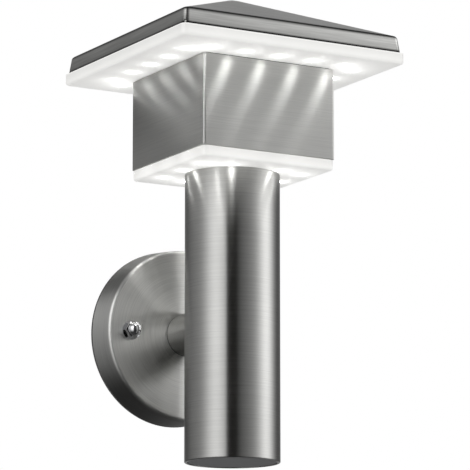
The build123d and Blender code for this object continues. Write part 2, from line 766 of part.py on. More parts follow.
# Upper carrier plate, on the collar and the bosses
upper_lead_out = (board_lead_x, -(upper_led_half - upper_board_margin / 2))
upper_screw_places = corners(upper_led_half, upper_led_pitch / 2)
with BuildPart() as upper_carrier:
    with BuildSketch(level(upper_carrier_z)):
        carrier_side = 2 * (upper_dish_bore - plate_gap)
        RectangleRounded(carrier_side, carrier_side, roof_corner_r - roof_sheet)
        Circle(rod_hole_r, mode=Mode.SUBTRACT)
        with Locations(*upper_boss_places):
            Circle(screw_d / 2 + hole_gap, mode=Mode.SUBTRACT)
        with Locations(lower_lead_place, upper_lead_out):
            Circle(board_lead_d / 2 + hole_gap, mode=Mode.SUBTRACT)
        with Locations(*upper_screw_places):
            Circle(board_screw_d / 2 + thread_gap, mode=Mode.SUBTRACT)
    extrude(amount=carrier_t)
upper_carrier.part.label = "upper_carrier"
export_step(upper_carrier.part, "parts/upper_carrier.step")

# Screws from the upper carrier down into the dish's bosses
upper_carrier_screws = pan_screws(
    level(upper_carrier_top_z), upper_boss_places, screw_d, screw_head_d, screw_head_h, dish_screw_l
)
upper_carrier_screws.part.label = "upper_carrier_screws"
export_step(upper_carrier_screws.part, "parts/upper_carrier_screws.step")

# Upper light board: a square ring under the carrier
with BuildPart() as upper_led_board:
    with BuildSketch(level(upper_carrier_z)):
        outer_side = 2 * (upper_led_half + upper_board_margin)
        hole_side = 2 * (upper_led_half - upper_board_margin)
        Rectangle(outer_side, outer_side)
        Rectangle(hole_side, hole_side, mode=Mode.SUBTRACT)
        with Locations(*upper_screw_places):
            Circle(board_screw_d / 2 + hole_gap, mode=Mode.SUBTRACT)
    extrude(amount=-board_t)
upper_led_board.part.label = "upper_led_board"
export_step(upper_led_board.part, "parts/upper_led_board.step")

# Lamps on the upper board: a row along each side
upper_row = led_row(upper_led_pitch, upper_led_count)
with BuildPart() as upper_leds:
    with BuildSketch(level(upper_carrier_z - board_t)):
        with Locations(*[(x, y) for x in (-upper_led_half, upper_led_half) for y in upper_row]):
            Rectangle(led_side, led_side)
        with Locations(*[(x, y) for x in upper_row for y in (-upper_led_half, upper_led_half)]):
            Rectangle(led_side, led_side)
    extrude(amount=-led_h)
upper_leds.part.label = "upper_leds"
export_step(upper_leds.part, "parts/upper_leds.step")

# Small screws that hold both boards up to their carriers, heads below
with BuildPart() as board_screws:
    for plate_z, places in ((column_top_z, lower_screw_places), (upper_carrier_z, upper_screw_places)):
        with BuildSketch(level(plate_z - board_t)):
            with Locations(*places):
                Circle(board_screw_head_d / 2)
        extrude(amount=-board_screw_head_h)
        with BuildSketch(level(plate_z - board_t)):
            with Locations(*places):
                Circle(board_screw_d / 2)
        extrude(amount=board_t + carrier_t)
board_screws.part.label = "board_screws"
export_step(board_screws.part, "parts/board_screws.step")

# Roof: pressed pyramid with a short skirt that leans in, open below
sheet_drop = roof_sheet * sqrt(1 + roof_slope**2)
inner_half = roof_side / 2 - roof_sheet
inner_crease_half = crease_half - roof_sheet
inner_crease_z = crease_z + roof_sheet * roof_slope - sheet_drop
inner_apex_half = roof_apex_side / 2 - roof_sheet
inner_apex_z = apex_z + roof_sheet * roof_slope - sheet_drop
roof_inner_r = roof_corner_r - roof_sheet
with BuildPart() as roof:
    with BuildSketch(level(roof_z)):
        RectangleRounded(roof_side, roof_side, roof_corner_r)
    with BuildSketch(level(crease_z)):
        RectangleRounded(2 * crease_half, 2 * crease_half, roof_corner_r)
    loft(ruled=True)
    with BuildSketch(level(crease_z)):
        RectangleRounded(2 * crease_half, 2 * crease_half, roof_corner_r)
    with BuildSketch(level(apex_z)):
        RectangleRounded(roof_apex_side, roof_apex_side, roof_apex_r)
    loft(ruled=True)
    crease_edges = [edge for edge in roof.edges() if abs(edge.center().Z - crease_z) < seat_gap]
    fillet(crease_edges, roof_crease_r)
    fillet(roof.faces().sort_by(Axis.Z)[-1].edges(), roof_apex_r)
    with BuildSketch(level(roof_z)):
        RectangleRounded(2 * inner_half, 2 * inner_half, roof_inner_r)
    with BuildSketch(level(inner_crease_z)):
        RectangleRounded(2 * inner_crease_half, 2 * inner_crease_half, roof_inner_r)
    loft(ruled=True, mode=Mode.SUBTRACT)
    with BuildSketch(level(inner_crease_z)):
        RectangleRounded(2 * inner_crease_half, 2 * inner_crease_half, roof_inner_r)
    with BuildSketch(level(inner_apex_z)):
        RectangleRounded(2 * inner_apex_half, 2 * inner_apex_half, roof_apex_r - roof_sheet)
    loft(ruled=True, mode=Mode.SUBTRACT)
    with BuildSketch(level(roof_z)):
        with PolarLocations(roof_side / sqrt(2), 4, start_angle=45):
            Rectangle(2 * roof_corner_r, roof_notch_w)
    extrude(amount=roof_notch_h, mode=Mode.SUBTRACT)
roof.part.label = "roof"
export_step(roof.part, "parts/roof.step")


def roof_under(x):
    """Height of the roof's underside, less the weld's gap, at x from the axis."""
    return crease_z + (crease_half - x) * roof_slope - sheet_drop - seat_gap


# Strip welded across the inside of the roof, which takes the tie rod's thread
strip_drop = roof_strip_t * sqrt(1 + roof_slope**2)
leg_in = roof_strip_leg - roof_strip_t
with BuildPart() as roof_bracket:
    with BuildSketch(upright(0, 0)):
        with BuildLine():
            right_top = [
                (leg_in, strip_z + roof_strip_t),
                (leg_in, roof_under(leg_in)),
                (roof_strip_reach, roof_under(roof_strip_reach)),
                (roof_strip_reach, roof_under(roof_strip_reach) - strip_drop),
                (roof_strip_leg, roof_under(roof_strip_leg) - strip_drop),
                (roof_strip_leg, strip_z),
            ]
            left_top = [(-x, z) for x, z in reversed(right_top)]
            Polyline(*right_top, *left_top, close=True)
        make_face()
    extrude(amount=roof_strip_w / 2, both=True)
    with BuildSketch(level(strip_z)):
        Circle(rod_hole_r)
    extrude(amount=roof_strip_t, mode=Mode.SUBTRACT)
roof_bracket.part.label = "roof_bracket"
export_step(roof_bracket.part, "parts/roof_bracket.step")

# Nut welded to the strip
roof_weld_nut = hex_nuts([level(strip_z + roof_strip_t)], rod_nut_flats, rod_nut_h, rod_d)
roof_weld_nut.part.label = "roof_weld_nut"
export_step(roof_weld_nut.part, "parts/roof_weld_nut.step")

# Tie rod from the bridge in the column up to the roof
rod_bottom_z = bridge_z - rod_washer_t - rod_nut_h - rod_proud
rod_top_z = strip_z + roof_strip_t + rod_nut_h
with BuildPart() as tie_rod:
    with BuildSketch(level(rod_bottom_z)):
        Circle(rod_d / 2)
    extrude(amount=rod_top_z - rod_bottom_z)
tie_rod.part.label = "tie_rod"
export_step(tie_rod.part, "parts/tie_rod.step")

# Washers under the bridge and on the driver's strip
with BuildPart() as tie_rod_washers:
    for washer_z in (bridge_z - rod_washer_t, foot_top_z):
        with BuildSketch(level(washer_z)):
            Circle(rod_washer_d / 2)
            Circle(rod_hole_r, mode=Mode.SUBTRACT)
        extrude(amount=rod_washer_t)
tie_rod_washers.part.label = "tie_rod_washers"
export_step(tie_rod_washers.part, "parts/tie_rod_washers.step")

# Nuts on those washers
tie_rod_nuts = hex_nuts(
    [level(bridge_z - rod_washer_t - rod_nut_h), level(foot_top_z + rod_washer_t)],
    rod_nut_flats, rod_nut_h, rod_d,
)
tie_rod_nuts.part.label = "tie_rod_nuts"
export_step(tie_rod_nuts.part, "parts/tie_rod_nuts.step")

# Mains lead: from the rose through the nipple, up the column and over into the driver's top
sheath_y = sheath_proud - nipple_start
driver_mid_y = -wall_to_axis - driver_out - driver_w / 2
driver_top_z = driver_z + driver_h
mains_rise_z = driver_top_z + mains_rise
mains_bend_z = bridge_z - mains_straight
mains_turn_y = -wall_to_axis - mains_turn_past
mains_y = mains_hole_y - wall_to_axis
mains_points = [
    (0, sheath_y, 0),
    (0, mains_turn_y, 0),
    (mains_hole_x + mains_lean, mains_turn_y, mains_bend_z / 2),
    (mains_hole_x, mains_y, mains_bend_z),
    (mains_hole_x, mains_y, mains_rise_z),
    (mains_hole_x, driver_mid_y, mains_rise_z),
    (mains_hole_x, driver_mid_y, driver_top_z),
]
mains_radii = [mains_turn_r, mains_lean_r, mains_lean_r, mains_top_r, mains_top_r]
mains_lead = lead("mains_lead", mains_points, mains_radii, mains_lead_d)
mains_lead.part.label = "mains_lead"
export_step(mains_lead.part, "parts/mains_lead.step")

# Cores bared at the sheath's end: two to the terminals, one to the earth tag
core_y = sheath_y + core_run
terminal_bottom_z = terminal_rise - terminal_h / 2
tag_y = -bracket_t - earth_tag_t - core_d / 2
with BuildPart() as lead_cores:
    for side in (-1, 1):
        core_points = [
            (side * core_out, sheath_y, core_lift),
            (side * core_out, core_y, core_lift),
            (side * terminal_pitch / 2, core_y, terminal_bottom_z - core_straight),
            (side * terminal_pitch / 2, core_y, terminal_bottom_z),
        ]
        add(lead("terminal core", core_points, [core_turn_r, core_ease_r], core_d).part)
    earth_points = [
        (0, sheath_y, -core_out),
        (0, tag_y, -core_out),
        (-earth_out + earth_tongue_l / 2, tag_y, 0),
    ]
    add(lead("earth core", earth_points, [earth_core_r], core_d).part)
lead_cores.part.label = "lead_cores"
export_step(lead_cores.part, "parts/lead_cores.step")

# Lead from the driver's underside straight down to the lower board
lower_lead_y = -board_lead_out - wall_to_axis
lower_lead_points = [
    (board_lead_x, lower_lead_y, driver_z),
    (board_lead_x, lower_lead_y, column_top_z),
]
lower_led_lead = lead("lower_led_lead", lower_lead_points, [], board_lead_d)
lower_led_lead.part.label = "lower_led_lead"
export_step(lower_led_lead.part, "parts/lower_led_lead.step")

# Lead from the driver's top, over the upper carrier and down to the upper board
upper_run_z = upper_carrier_top_z + board_lead_rise
upper_lead_points = [
    (board_lead_x, lower_lead_y, driver_top_z),
    (board_lead_x, lower_lead_y, upper_run_z),
    (board_lead_x, upper_lead_out[1] - wall_to_axis, upper_run_z),
    (board_lead_x, upper_lead_out[1] - wall_to_axis, upper_carrier_z),
]
upper_led_lead = lead("upper_led_lead", upper_lead_points, [board_lead_r, board_lead_r], board_lead_d)
upper_led_lead.part.label = "upper_led_lead"
export_step(upper_led_lead.part, "parts/upper_led_lead.step")
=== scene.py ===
from math import cos, degrees, pi, radians, sin

import bmesh
import bpy
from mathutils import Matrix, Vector


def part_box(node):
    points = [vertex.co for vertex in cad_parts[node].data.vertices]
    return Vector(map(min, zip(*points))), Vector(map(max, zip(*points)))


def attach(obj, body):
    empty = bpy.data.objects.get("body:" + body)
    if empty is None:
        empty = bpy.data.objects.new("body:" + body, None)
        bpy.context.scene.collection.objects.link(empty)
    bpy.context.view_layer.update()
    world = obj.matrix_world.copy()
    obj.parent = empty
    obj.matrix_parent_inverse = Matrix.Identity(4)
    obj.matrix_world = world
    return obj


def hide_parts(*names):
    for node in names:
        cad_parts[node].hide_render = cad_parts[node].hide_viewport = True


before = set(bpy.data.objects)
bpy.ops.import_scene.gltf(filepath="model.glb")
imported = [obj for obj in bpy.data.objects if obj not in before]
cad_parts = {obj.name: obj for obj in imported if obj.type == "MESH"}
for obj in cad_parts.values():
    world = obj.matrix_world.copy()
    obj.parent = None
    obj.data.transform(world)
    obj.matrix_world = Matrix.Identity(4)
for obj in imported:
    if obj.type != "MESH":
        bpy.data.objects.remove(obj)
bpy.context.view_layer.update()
scene = bpy.context.scene


# Wall gasket: a ring of closed-cell foam rubber between the rose and the wall. It is cut from sheet,
# so its faces show small cells, and the rose's rim presses it flat.
class Shade:
    """A socket of a shader tree: arithmetic on it adds Math nodes, and node() adds any other node."""

    def __init__(self, tree, socket=None):
        self.tree = tree
        self.socket = socket

    def node(self, kind, settings, sockets, output=0):
        """Adds a node of this kind, its settings first and then its sockets, and gives one output."""
        made = self.tree.nodes.new("ShaderNode" + kind)
        for name, value in settings.items():
            if name == "stops":
                stops = made.color_ramp.elements
                stops.remove(stops[1])
                stops[0].position, stops[0].color = value[0]
                for position, colour in value[1:]:
                    stops.new(position).color = colour
            else:
                setattr(made, name, value)
        for place, value in sockets.items():
            if isinstance(value, Shade):
                self.tree.links.new(value.socket, made.inputs[place])
            else:
                made.inputs[place].default_value = value
        return Shade(self.tree, made.outputs[output]) if made.outputs else None

    def maths(self, operation, *values):
        return self.node("Math", {"operation": operation}, dict(enumerate(values)))

    def __add__(self, other):
        return self.maths("ADD", self, other)

    def __sub__(self, other):
        return self.maths("SUBTRACT", self, other)

    def __rsub__(self, other):
        return self.maths("SUBTRACT", other, self)

    def __mul__(self, other):
        return self.maths("MULTIPLY", self, other)

    def __truediv__(self, other):
        return self.maths("DIVIDE", self, other)

    def __pow__(self, other):
        return self.maths("POWER", self, other)

    def __abs__(self):
        return self.maths("ABSOLUTE", self)

    __radd__ = __add__
    __rmul__ = __mul__

    def place(self):
        """x, y and z of the surface point in the piece's own frame, in metres."""
        point = self.node("TexCoord", {}, {}, "Object")
        return [self.node("SeparateXYZ", {}, {0: point}, axis) for axis in "XYZ"]

    def grain(self, x, y, z, scale, detail=2.0, roughness=0.5):
        """Noise round a half, with this many grains to a unit of x, y and z."""
        spot = self.node("CombineXYZ", {}, {0: x, 1: y, 2: z})
        sockets = {"Vector": spot, "Scale": scale, "Detail": detail, "Roughness": roughness}
        return self.node("TexNoise", {}, sockets)

    def between(self, factor, low, high):
        """Colour between two colours."""
        sockets = {0: factor, 6: (*low, 1.0), 7: (*high, 1.0)}
        return self.node("Mix", {"data_type": "RGBA", "clamp_factor": True}, sockets, 2)

    def scaled(self, factor):
        """This colour made lighter or darker."""
        return self.node("VectorMath", {"operation": "SCALE"}, {0: self, "Scale": factor})

    def ramp(self, start, end, low, high):
        """Goes from low to high while this value goes from start to end, and stays level outside them."""
        sockets = {"Value": self, "From Min": start, "From Max": end, "To Min": low, "To Max": high}
        return self.node("MapRange", {}, sockets)

    def band(self, middle, width):
        """1 where this value is at the middle, and near 0 from twice the width away."""
        return self.maths("EXPONENT", ((self - middle) / width) ** 2.0 * -1.0)

    def relief(self, height, strength, depth):
        """Normal of a surface with this fine relief, its depth in metres."""
        return self.node("Bump", {}, {"Height": height, "Strength": strength, "Distance": depth})

    def finish(self, sockets):
        """Ends the tree in a Principled shader with these sockets."""
        shader = self.node("BsdfPrincipled", {}, sockets)
        self.node("OutputMaterial", {}, {"Surface": shader})


def new_material(name):
    """An empty material and its shader tree."""
    material = bpy.data.materials.new(name)
    material.use_nodes = True
    material.node_tree.nodes.clear()
    return material, Shade(material.node_tree)


def dress(material, *names):
    """Gives these nodes the material."""
    for name in names:
        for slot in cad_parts[name].material_slots:
            slot.material = material


def moulded(name, low, high, grain_size, roughness, depth):
    """Moulded or foamed surface: two close colours, and a fine grain of this size and depth in metres."""
    material, shade = new_material(name)
    x, y, z = shade.place()
    pits = shade.grain(x, y, z, 1.0 / grain_size, 3.0)
    patches = shade.grain(x, y, z, 60.0)
    shade.finish({
        "Base Color": shade.between(pits * 0.6 + patches * 0.4, low, high),
        "Roughness": roughness + 0.2 * (patches - 0.5),
        "Normal": shade.relief(pits, 0.4, depth),
    })
    return material


foam = moulded("foam_rubber", (0.035, 0.035, 0.035), (0.085, 0.085, 0.085), 0.0006, 0.85, 0.0002)
dress(foam, "wall_gasket")


# Wall bracket: a cross pressed from steel plate, zinc plated after its two studs were welded on. Plating
# leaves a bluish, slightly mottled bright surface.
def plated(name, low, high, roughness):
    """Plated or mill-finished metal: a mottled colour with soft cloudy gloss."""
    material, shade = new_material(name)
    x, y, z = shade.place()
    clouds = shade.grain(x, y, z, 180.0, 4.0, 0.6)
    marks = shade.grain(x, y, z, 2200.0)
    shade.finish({
        "Base Color": shade.between(clouds, low, high),
        "Metallic": 1.0,
        "Roughness": roughness + 0.25 * (clouds - 0.5),
        "Normal": shade.relief(marks, 0.15, 0.00003),
    })
    return material


zinc = plated("zinc_steel", (0.5, 0.51, 0.54), (0.66, 0.66, 0.67), 0.32)
dress(zinc, "wall_bracket", "bracket_studs")


# Terminal block with brass screws, the earth screw and its tag: a white moulded body, screwed to the
# bracket. The three cores of the lead end there, each in its own coloured sheath.
white_moulding = moulded("white_plastic", (0.80, 0.80, 0.78), (0.88, 0.88, 0.86), 0.0004, 0.5, 0.00004)
brass = plated("brass", (0.62, 0.48, 0.22), (0.78, 0.63, 0.34), 0.3)
dress(white_moulding, "terminal_block")
dress(zinc, "terminal_fixing_screw")
dress(brass, "terminal_screws", "earth_screw", "earth_tag")

core_sheath, core_shade = new_material("core_sheath")
core_x, core_y, core_z = core_shade.place()
core_colours = [
    (0.30, (0.30, 0.42, 0.03, 1.0)),
    (0.36, (0.03, 0.10, 0.42, 1.0)),
    (0.48, (0.03, 0.10, 0.42, 1.0)),
    (0.52, (0.16, 0.07, 0.03, 1.0)),
]
core_colour = core_shade.node("ValToRGB", {"stops": core_colours}, {0: core_x * 80.0 + 0.5})
core_grain = core_shade.grain(core_x, core_y, core_z, 900.0)
core_shade.finish({
    "Base Color": core_colour,
    "Roughness": 0.42 + 0.15 * (core_grain - 0.5),
    "Normal": core_shade.relief(core_grain, 0.1, 0.00003),
})
dress(core_sheath, "lead_cores")


# Rose: the round cover over the bracket, spun from stainless sheet and then polished on the lathe with a
# fine belt, so its marks run in rings. Two cap nuts hold it.
def brushed_steel(name, lay, base, directed=1.0, roughness=0.31, painted_tone=None, dull=None):
    """Stainless after the belt: marks half a millimetre apart, each some centimetres long.
    base is the darkest and lightest grey, and directed says how far the marks spread a reflection across
    them. From x, y and z, lay gives the distance across the marks, tone a share of the grey that paints
    light and shade, and dull an added roughness."""
    material, shade = new_material(name)
    x, y, z = shade.place()
    marks_across = 2100.0
    marks_along = 24.0
    drift_x = (x + y) * marks_along
    drift_y = (x - y + z) * marks_along
    marks = shade.grain(lay(x, y, z) * marks_across, drift_x, drift_y, 1.0, 3.0, 0.65)
    handling = shade.grain(x, y, z, 26.0, 3.0)
    dark, light = [(grey, grey, 0.975 * grey) for grey in base]
    colour = shade.between(0.5 + 1.6 * (marks - 0.5), dark, light)
    # This scale paints light and shade into the grey.
    if painted_tone:
        colour = colour.scaled(painted_tone(x, y, z))
    if dull:
        roughness = roughness + dull(x, y, z)
    shade.finish({
        "Base Color": colour,
        "Metallic": 1.0,
        "Roughness": roughness + 0.12 * (marks - 0.5) + 0.08 * (handling - 0.5),
        "Anisotropic": directed,
        "Anisotropic Rotation": 0.25,
        "Normal": shade.relief(marks, 0.3, 0.00006),
    })
    return material


rose_low, rose_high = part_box("rose")
rose_r = rose_high[0]
rose_back = -rose_high[1]
rose_front = -rose_low[1]
# The rose's painted shade on its side fades into the face over these heights.
rose_side = (rose_front - 0.0025, rose_front - 0.0005)
rose_draw_in = 0.0015
rose_edge_r = 0.0018
rose_sheet = 0.001
rose_hole_r = 0.006
rose_steps = 160
rose_edge_steps = 8
rose_sharp = radians(35.0)


def rose_skin(inside):
    """Section of the sheet's outer skin, or of one this far inside it, from the rim to the middle.
    Each point is a distance from the rose's axis and one from the wall."""
    rim_r = rose_r - inside
    face_r = rim_r - rose_draw_in
    edge_r = rose_edge_r - inside
    face_z = rose_front - inside
    points = [(rim_r, rose_back)]
    for step in range(rose_edge_steps + 1):
        turn = 0.5 * pi * step / rose_edge_steps
        points.append((face_r - edge_r + edge_r * cos(turn), face_z - edge_r + edge_r * sin(turn)))
    points += [(face_r * share, face_z) for share in (0.8, 0.55, 0.3)]
    points.append((rose_hole_r, face_z))
    return points


rose_mesh = bmesh.new()
rose_rings = []
for radius, height in rose_skin(0.0) + rose_skin(rose_sheet)[::-1]:
    ring = []
    for step in range(rose_steps):
        turn = 2.0 * pi * step / rose_steps
        ring.append(rose_mesh.verts.new((radius * cos(turn), radius * sin(turn), height)))
    rose_rings.append(ring)
for ring, after in zip(rose_rings, rose_rings[1:] + rose_rings[:1]):
    for step in range(rose_steps):
        beside = (step + 1) % rose_steps
        rose_mesh.faces.new((ring[step], ring[beside], after[beside], after[step]))
bmesh.ops.recalc_face_normals(rose_mesh, faces=rose_mesh.faces)
for face in rose_mesh.faces:
    face.smooth = True
for edge in rose_mesh.edges:
    edge.smooth = edge.calc_face_angle(0.0) < rose_sharp
rose_data = bpy.data.meshes.new("rose_cover")
rose_mesh.to_mesh(rose_data)
rose_mesh.free()
rose_cover = bpy.data.objects.new("rose_cover", rose_data)
rose_cover.rotation_euler = (0.5 * pi, 0.0, 0.0)
scene.collection.objects.link(rose_cover)


def rose_lay(x, y, z):
    """Rings round the rose's own axis, which is its z, on the face and on the side."""
    return (x * x + y * y) ** 0.5 + z


def rose_painted_shade(x, y, z):
    """Painted shade: darker on the side than on the face."""
    return z.ramp(*rose_side, 0.62, 1.0)


rose_data.materials.append(brushed_steel("stainless_rose", rose_lay, (0.7, 0.94), painted_tone=rose_painted_shade))
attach(rose_cover, "lamp")
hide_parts("rose")


# Cap nuts and their washers: domed hexagon nuts in chromed brass, screwed on the bracket's studs. They are
# bought polished, and carry faint scratches from the spanner.
chrome, chrome_shade = new_material("chrome")
chrome_x, chrome_y, chrome_z = chrome_shade.place()
scratches = chrome_shade.grain(chrome_x, chrome_y * 8.75, chrome_z, 400.0, 3.0)
bloom = chrome_shade.grain(chrome_x, chrome_y, chrome_z, 250.0)
chrome_shade.finish({
    "Base Color": chrome_shade.between(bloom, (0.72, 0.73, 0.75), (0.84, 0.84, 0.85)),
    "Metallic": 1.0,
    "Roughness": 0.1 + 0.12 * (scratches - 0.5) + 0.08 * (bloom - 0.5),
    "Normal": chrome_shade.relief(scratches, 0.06, 0.00002),
})
dress(chrome, "cap_nut_left", "cap_nut_right", "nut_washer_left", "nut_washer_right")


# Arm: a short stainless tube, coped to the column and polished in rings. A hollow threaded nipple runs
# through it and draws rose, arm and column together with a saddle and nuts.
# Spans of the arm's painted shadow line at the rose and of the painted shade on its underside.
arm_root_shadow = (-rose_front - 0.0012, -rose_front - 0.0004)
arm_under_shade = (-0.011, 0.004)


def arm_lay(x, y, z):
    """Rings round the arm, which lies along y."""
    return y


def arm_painted_shade(x, y, z):
    """Painted shade: a painted shadow line where the arm meets the rose, and a darker underside."""
    return y.ramp(*arm_root_shadow, 1.0, 0.25) * z.ramp(*arm_under_shade, 0.5, 1.0)


dress(brushed_steel("stainless_arm", arm_lay, (0.66, 0.82), 0.0, 0.17, arm_painted_shade), "arm_tube")
dress(zinc, "arm_nipple", "arm_nuts", "arm_washer", "column_saddle")


# Column: stainless tube, polished in rings by a belt while it turned, with a grey moulded disc pressed
# into its lower end and a steel bridge welded inside its top.
column_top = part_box("column")[1][2]
# Over this span the column gets painted light and more roughness towards its upper end.
column_end = (column_top - 0.0372, column_top - 0.0142)


def level_lay(x, y, z):
    """Level marks, one above the other."""
    return z


def column_painted_light(x, y, z):
    """Painted light: paler towards the upper end, below the lower light."""
    return z.ramp(*column_end, 1.0, 1.5)


def column_dull(x, y, z):
    """Rougher towards the upper end too."""
    return z.ramp(*column_end, 0.0, 0.17)


column_steel = brushed_steel(
    "stainless_column", level_lay, (0.47, 0.65), roughness=0.33, painted_tone=column_painted_light, dull=column_dull
)
dress(column_steel, "column")
grey_moulding = moulded("grey_plastic", (0.095, 0.097, 0.1), (0.145, 0.147, 0.15), 0.0005, 0.55, 0.00008)
dress(grey_moulding, "column_end_cap")
dress(zinc, "column_bridge")


# Lower light: an opal acrylic dish round the column, lit from above by ten small lamps on a white board.
# The board hangs from an aluminium plate, four screws hold the dish up to the plate, and a silicone ring
# seals it to the box.
lower_low, lower_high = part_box("lower_diffuser")
box_low, box_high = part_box("box_housing")
axis_y = 0.5 * (lower_low[1] + lower_high[1])
lamp_spread = 0.0014
halo_spread = 0.01
halo_level = 0.5
wash_level = 0.15
# The bright line along each dish's rim is a painted highlight.
rim_highlight_level = 0.14
rim_highlight_width = 0.0006
lower_core = 15.0
lower_row_out = 0.0295
lower_row_pitch = 0.021
lower_pair_x = 0.015
lower_pair_y = 0.025


def opal(name, lamps, core, foot, head):
    """Lit opal acrylic: bright spots under the lamps, a halo round each, sides that dim up to the rim, and
    a painted highlight along the rim.
    lamps gives, from x and y off the column's axis, the squared distances to the lamps of each row, core
    is the strength right under a lamp, and foot and head are the heights of the dish's floor and rim."""
    material, shade = new_material(name)
    x, y, z = shade.place()
    spots = 0.0
    halo = 0.0
    for reach in lamps(x, y - axis_y):
        spots = spots + shade.maths("EXPONENT", reach * (-0.5 / lamp_spread**2))
        halo = halo + (1.0 + reach * (1.0 / halo_spread**2)) ** -2.0
    haze = shade.grain(x, y, z, 45.0, 3.0)
    orange_peel = shade.grain(x, y, z, 700.0)
    # The bright line at the rim is a painted highlight; the side wash is the dish's own glow.
    sides = z.ramp(foot, head, wash_level, 0.0) + rim_highlight_level * z.band(head, rim_highlight_width)
    glow = sides + 0.03 * (haze - 0.5) + halo_level * halo + core * spots
    shade.finish({
        "Base Color": shade.between(haze, (0.81, 0.805, 0.785), (0.85, 0.845, 0.825)),
        "Roughness": 0.34 + 0.1 * (haze - 0.5),
        "Emission Color": shade.node("CombineColor", {}, {0: glow, 1: glow, 2: glow * 0.985}),
        "Emission Strength": 1.0,
        "Normal": shade.relief(orange_peel, 0.05, 0.00004),
    })
    return material


def lower_lamps(x, y):
    """Three lamps each side of the column, a pair before it and a pair behind."""
    out_x = abs(x)
    out_y = abs(y)
    step = lower_row_pitch * out_y.maths("GREATER_THAN", out_y, 0.5 * lower_row_pitch)
    side_row = (out_x - lower_row_out) ** 2.0 + (out_y - step) ** 2.0
    pairs = (out_x - lower_pair_x) ** 2.0 + (out_y - lower_pair_y) ** 2.0
    return side_row, pairs


dress(opal("opal_lower", lower_lamps, lower_core, lower_low[2], box_low[2]), "lower_diffuser")
sheet_aluminium = plated("sheet_aluminium", (0.68, 0.68, 0.69), (0.8, 0.8, 0.81), 0.38)
dress(sheet_aluminium, "lower_carrier")
board = moulded("board", (0.85, 0.85, 0.84), (0.92, 0.92, 0.91), 0.0008, 0.4, 0.00002)
dress(board, "lower_led_board")
dress(zinc, "lower_diffuser_screws", "board_screws")
silicone = moulded("silicone", (0.64, 0.64, 0.62), (0.74, 0.74, 0.72), 0.0006, 0.6, 0.00005)
dress(silicone, "lower_gasket")

lamp_chip, chip_shade = new_material("lamp_chip")
chip_x, chip_y, chip_z = chip_shade.place()
phosphor = chip_shade.grain(chip_x, chip_y, chip_z, 2500.0)
chip_shade.finish({
    "Base Color": chip_shade.between(phosphor, (0.88, 0.80, 0.42), (0.97, 0.93, 0.68)),
    "Roughness": 0.45 + 0.2 * (phosphor - 0.5),
    "Emission Color": chip_shade.between(phosphor, (0.92, 0.92, 0.86), (1.0, 1.0, 0.96)),
    "Emission Strength": 2.0,
})
dress(lamp_chip, "lower_leds")


# Box: folded from stainless sheet brushed along its length, with flanges turned in at both ends. It holds
# the driver on a bent steel strip, and the leads, which pass the plates in foam rubber grommets.
box_corner = 2.0 * box_high[0]
# Where the box's painted highlights on the bends, painted light along the upper edge and painted shade on
# two sides lie.
box_bend_highlight = (box_corner - 0.0011, box_corner - 0.0008)
box_top_painted_light = (box_high[2] - 0.01, box_high[2] - 0.0002)
box_side = (box_high[0] - 0.0004, box_high[0] - 0.0002)
box_side_shade_span = (box_low[2] + 0.006, box_low[2] + 0.034)


def box_painted_light_and_shade(x, y, z):
    """Painted light and shade: a painted light band along the upper edge, painted highlights on the bends,
    and on two sides painted shade towards the top and painted light towards the foot.
    """
    bends = (abs(x) + abs(y - axis_y)).ramp(*box_bend_highlight, 1.0, 1.25)
    sides = 1.0 + abs(x).ramp(*box_side, 0.0, 1.0) * z.ramp(*box_side_shade_span, 0.2, -0.22)
    return z.ramp(*box_top_painted_light, 1.0, 1.12) * bends * sides


box_steel = brushed_steel("stainless_box", level_lay, (0.72, 0.88), roughness=0.5, painted_tone=box_painted_light_and_shade)
dress(box_steel, "box_housing")
dress(zinc, "driver_bracket", "driver_screws")
dress(white_moulding, "led_driver")
lead_sheath = moulded("lead_sheath", (0.03, 0.03, 0.03), (0.065, 0.065, 0.065), 0.0004, 0.6, 0.00005)
dress(lead_sheath, "mains_lead", "lower_led_lead", "upper_led_lead")
dress(foam, "lead_grommets")


# Upper light: a wider opal dish under the roof, with five lamps along each side. Its shoulder carries the
# roof's skirt, and a foam gasket seals its floor to the box.
upper_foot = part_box("upper_diffuser")[0][2]
roof_low, roof_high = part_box("roof")
upper_row_out = 0.0492
upper_row_pitch = 0.02
upper_row_end = 2.0
upper_core = 29.0


def upper_lamps(x, y):
    """A row of five lamps along each of the four sides."""
    out_x = abs(x)
    out_y = abs(y)
    rows = []
    for along, out in ((out_x, out_y), (out_y, out_x)):
        nearest = along.maths("MINIMUM", along.maths("ROUND", along / upper_row_pitch), upper_row_end)
        rows.append((along - nearest * upper_row_pitch) ** 2.0 + (out - upper_row_out) ** 2.0)
    return rows


dress(opal("opal_upper", upper_lamps, upper_core, upper_foot, roof_low[2]), "upper_diffuser")
dress(lamp_chip, "upper_leds")
dress(board, "upper_led_board")
dress(sheet_aluminium, "upper_carrier")
dress(zinc, "upper_carrier_screws")
dress(foam, "upper_gasket")


# Roof: a low pyramid pressed from stainless sheet, with a short skirt leaning in and small notches where
# the corners were folded. A strip and a nut welded inside take the tie rod.
roof_corner = 2.0 * roof_high[0]
# Where the roof's painted shade lies: a shadow at the skirt's foot, shade down the skirt and at its
# corners, and a dark line at the crease.
skirt_foot_shadow = (0.001, 0.002)
skirt_shade_rise = (0.0011, 0.0086)
skirt_corner_shade = (roof_corner - 0.004, roof_corner - 0.002)
crease_up = 0.0089
crease_shade_width = 0.0011
coarseness = 0.5


def roof_lay(x, y, z):
    """Level marks from a coarser belt."""
    return z * coarseness


